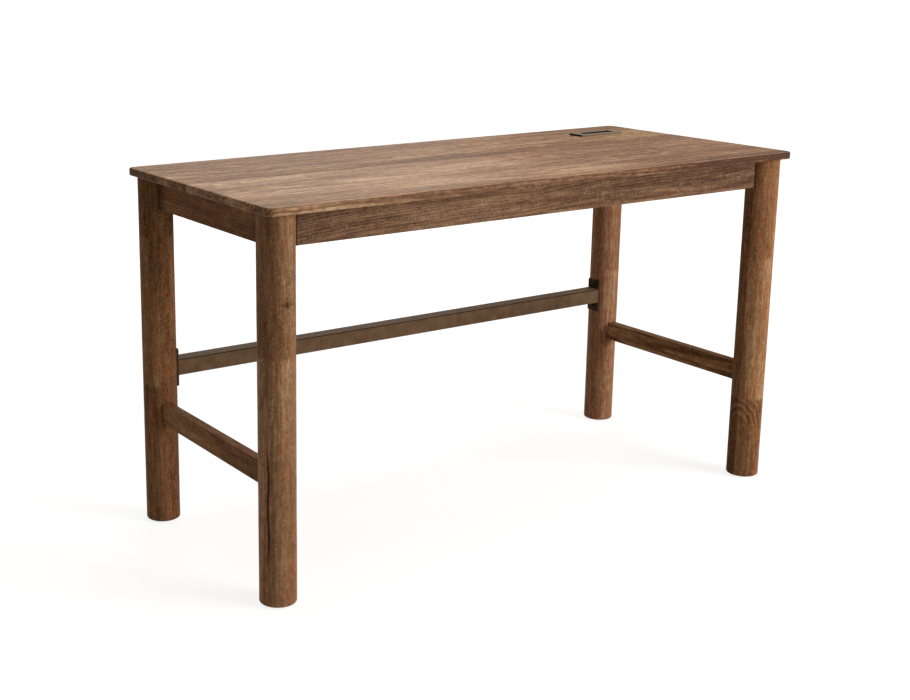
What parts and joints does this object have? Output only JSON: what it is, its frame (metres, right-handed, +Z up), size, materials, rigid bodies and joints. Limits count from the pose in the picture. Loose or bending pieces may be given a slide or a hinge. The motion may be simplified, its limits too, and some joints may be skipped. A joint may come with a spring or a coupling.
{
  "type": "writing desk",
  "caption": "Rectangular wooden writing desk on round legs, with aprons, low end stretchers, a steel bar between the back legs and a power unit let into the top.",
  "frame": {"origin": "on the floor, below the middle of the desk", "axes": "+X along the length, to the right of someone sitting at it; +Y to the back; +Z up"},
  "size_m": [1.35, 0.578, 0.767],
  "materials": {
    "top_wood": "walnut-brown stain, satin, long grain with darker streaks",
    "frame_wood": "dark walnut-brown stain, satin, open grain",
    "block_wood": "plain unstained hardwood",
    "bronze_metal": "dark bronze powder coat, satin",
    "zinc_steel": "zinc plated",
    "nylon": "dark brown moulded nylon",
    "bezel_plastic": "dark bronze-grey moulding, satin",
    "black_plastic": "fine-textured black moulding",
    "brass": "bare strip"
  },
  "bodies": {
    "root": {"top_front_board": "top_wood", "top_back_board": "top_wood", "front_left_leg": "frame_wood", "front_right_leg": "frame_wood", "back_left_leg": "frame_wood", "back_right_leg": "frame_wood", "front_apron": "frame_wood", "back_apron": "frame_wood", "left_apron": "frame_wood", "right_apron": "frame_wood", "left_stretcher": "frame_wood", "right_stretcher": "frame_wood", "front_left_corner_block": "block_wood", "front_right_corner_block": "block_wood", "back_left_corner_block": "block_wood", "back_right_corner_block": "block_wood", "apron_dowels": "block_wood", "rear_bar": "bronze_metal", "left_bar_plate": "bronze_metal", "right_bar_plate": "bronze_metal", "bar_plate_screws": "bronze_metal", "hanger_bolts": "zinc_steel", "hanger_washers": "zinc_steel", "hanger_nuts": "zinc_steel", "corner_block_screws": "zinc_steel", "top_brackets": "zinc_steel", "top_bracket_screws": "zinc_steel", "power_clamp_screws": "zinc_steel", "glide_nails": "zinc_steel", "usb_shells": "zinc_steel", "front_left_glide": "nylon", "front_right_glide": "nylon", "back_left_glide": "nylon", "back_right_glide": "nylon", "power_bezel": "bezel_plastic", "power_insert": "black_plastic", "power_housing": "black_plastic", "power_clamps": "black_plastic", "cord_gland": "black_plastic", "usb_tongues": "black_plastic", "outlet_contacts": "brass"}
  },
  "joints": []
}
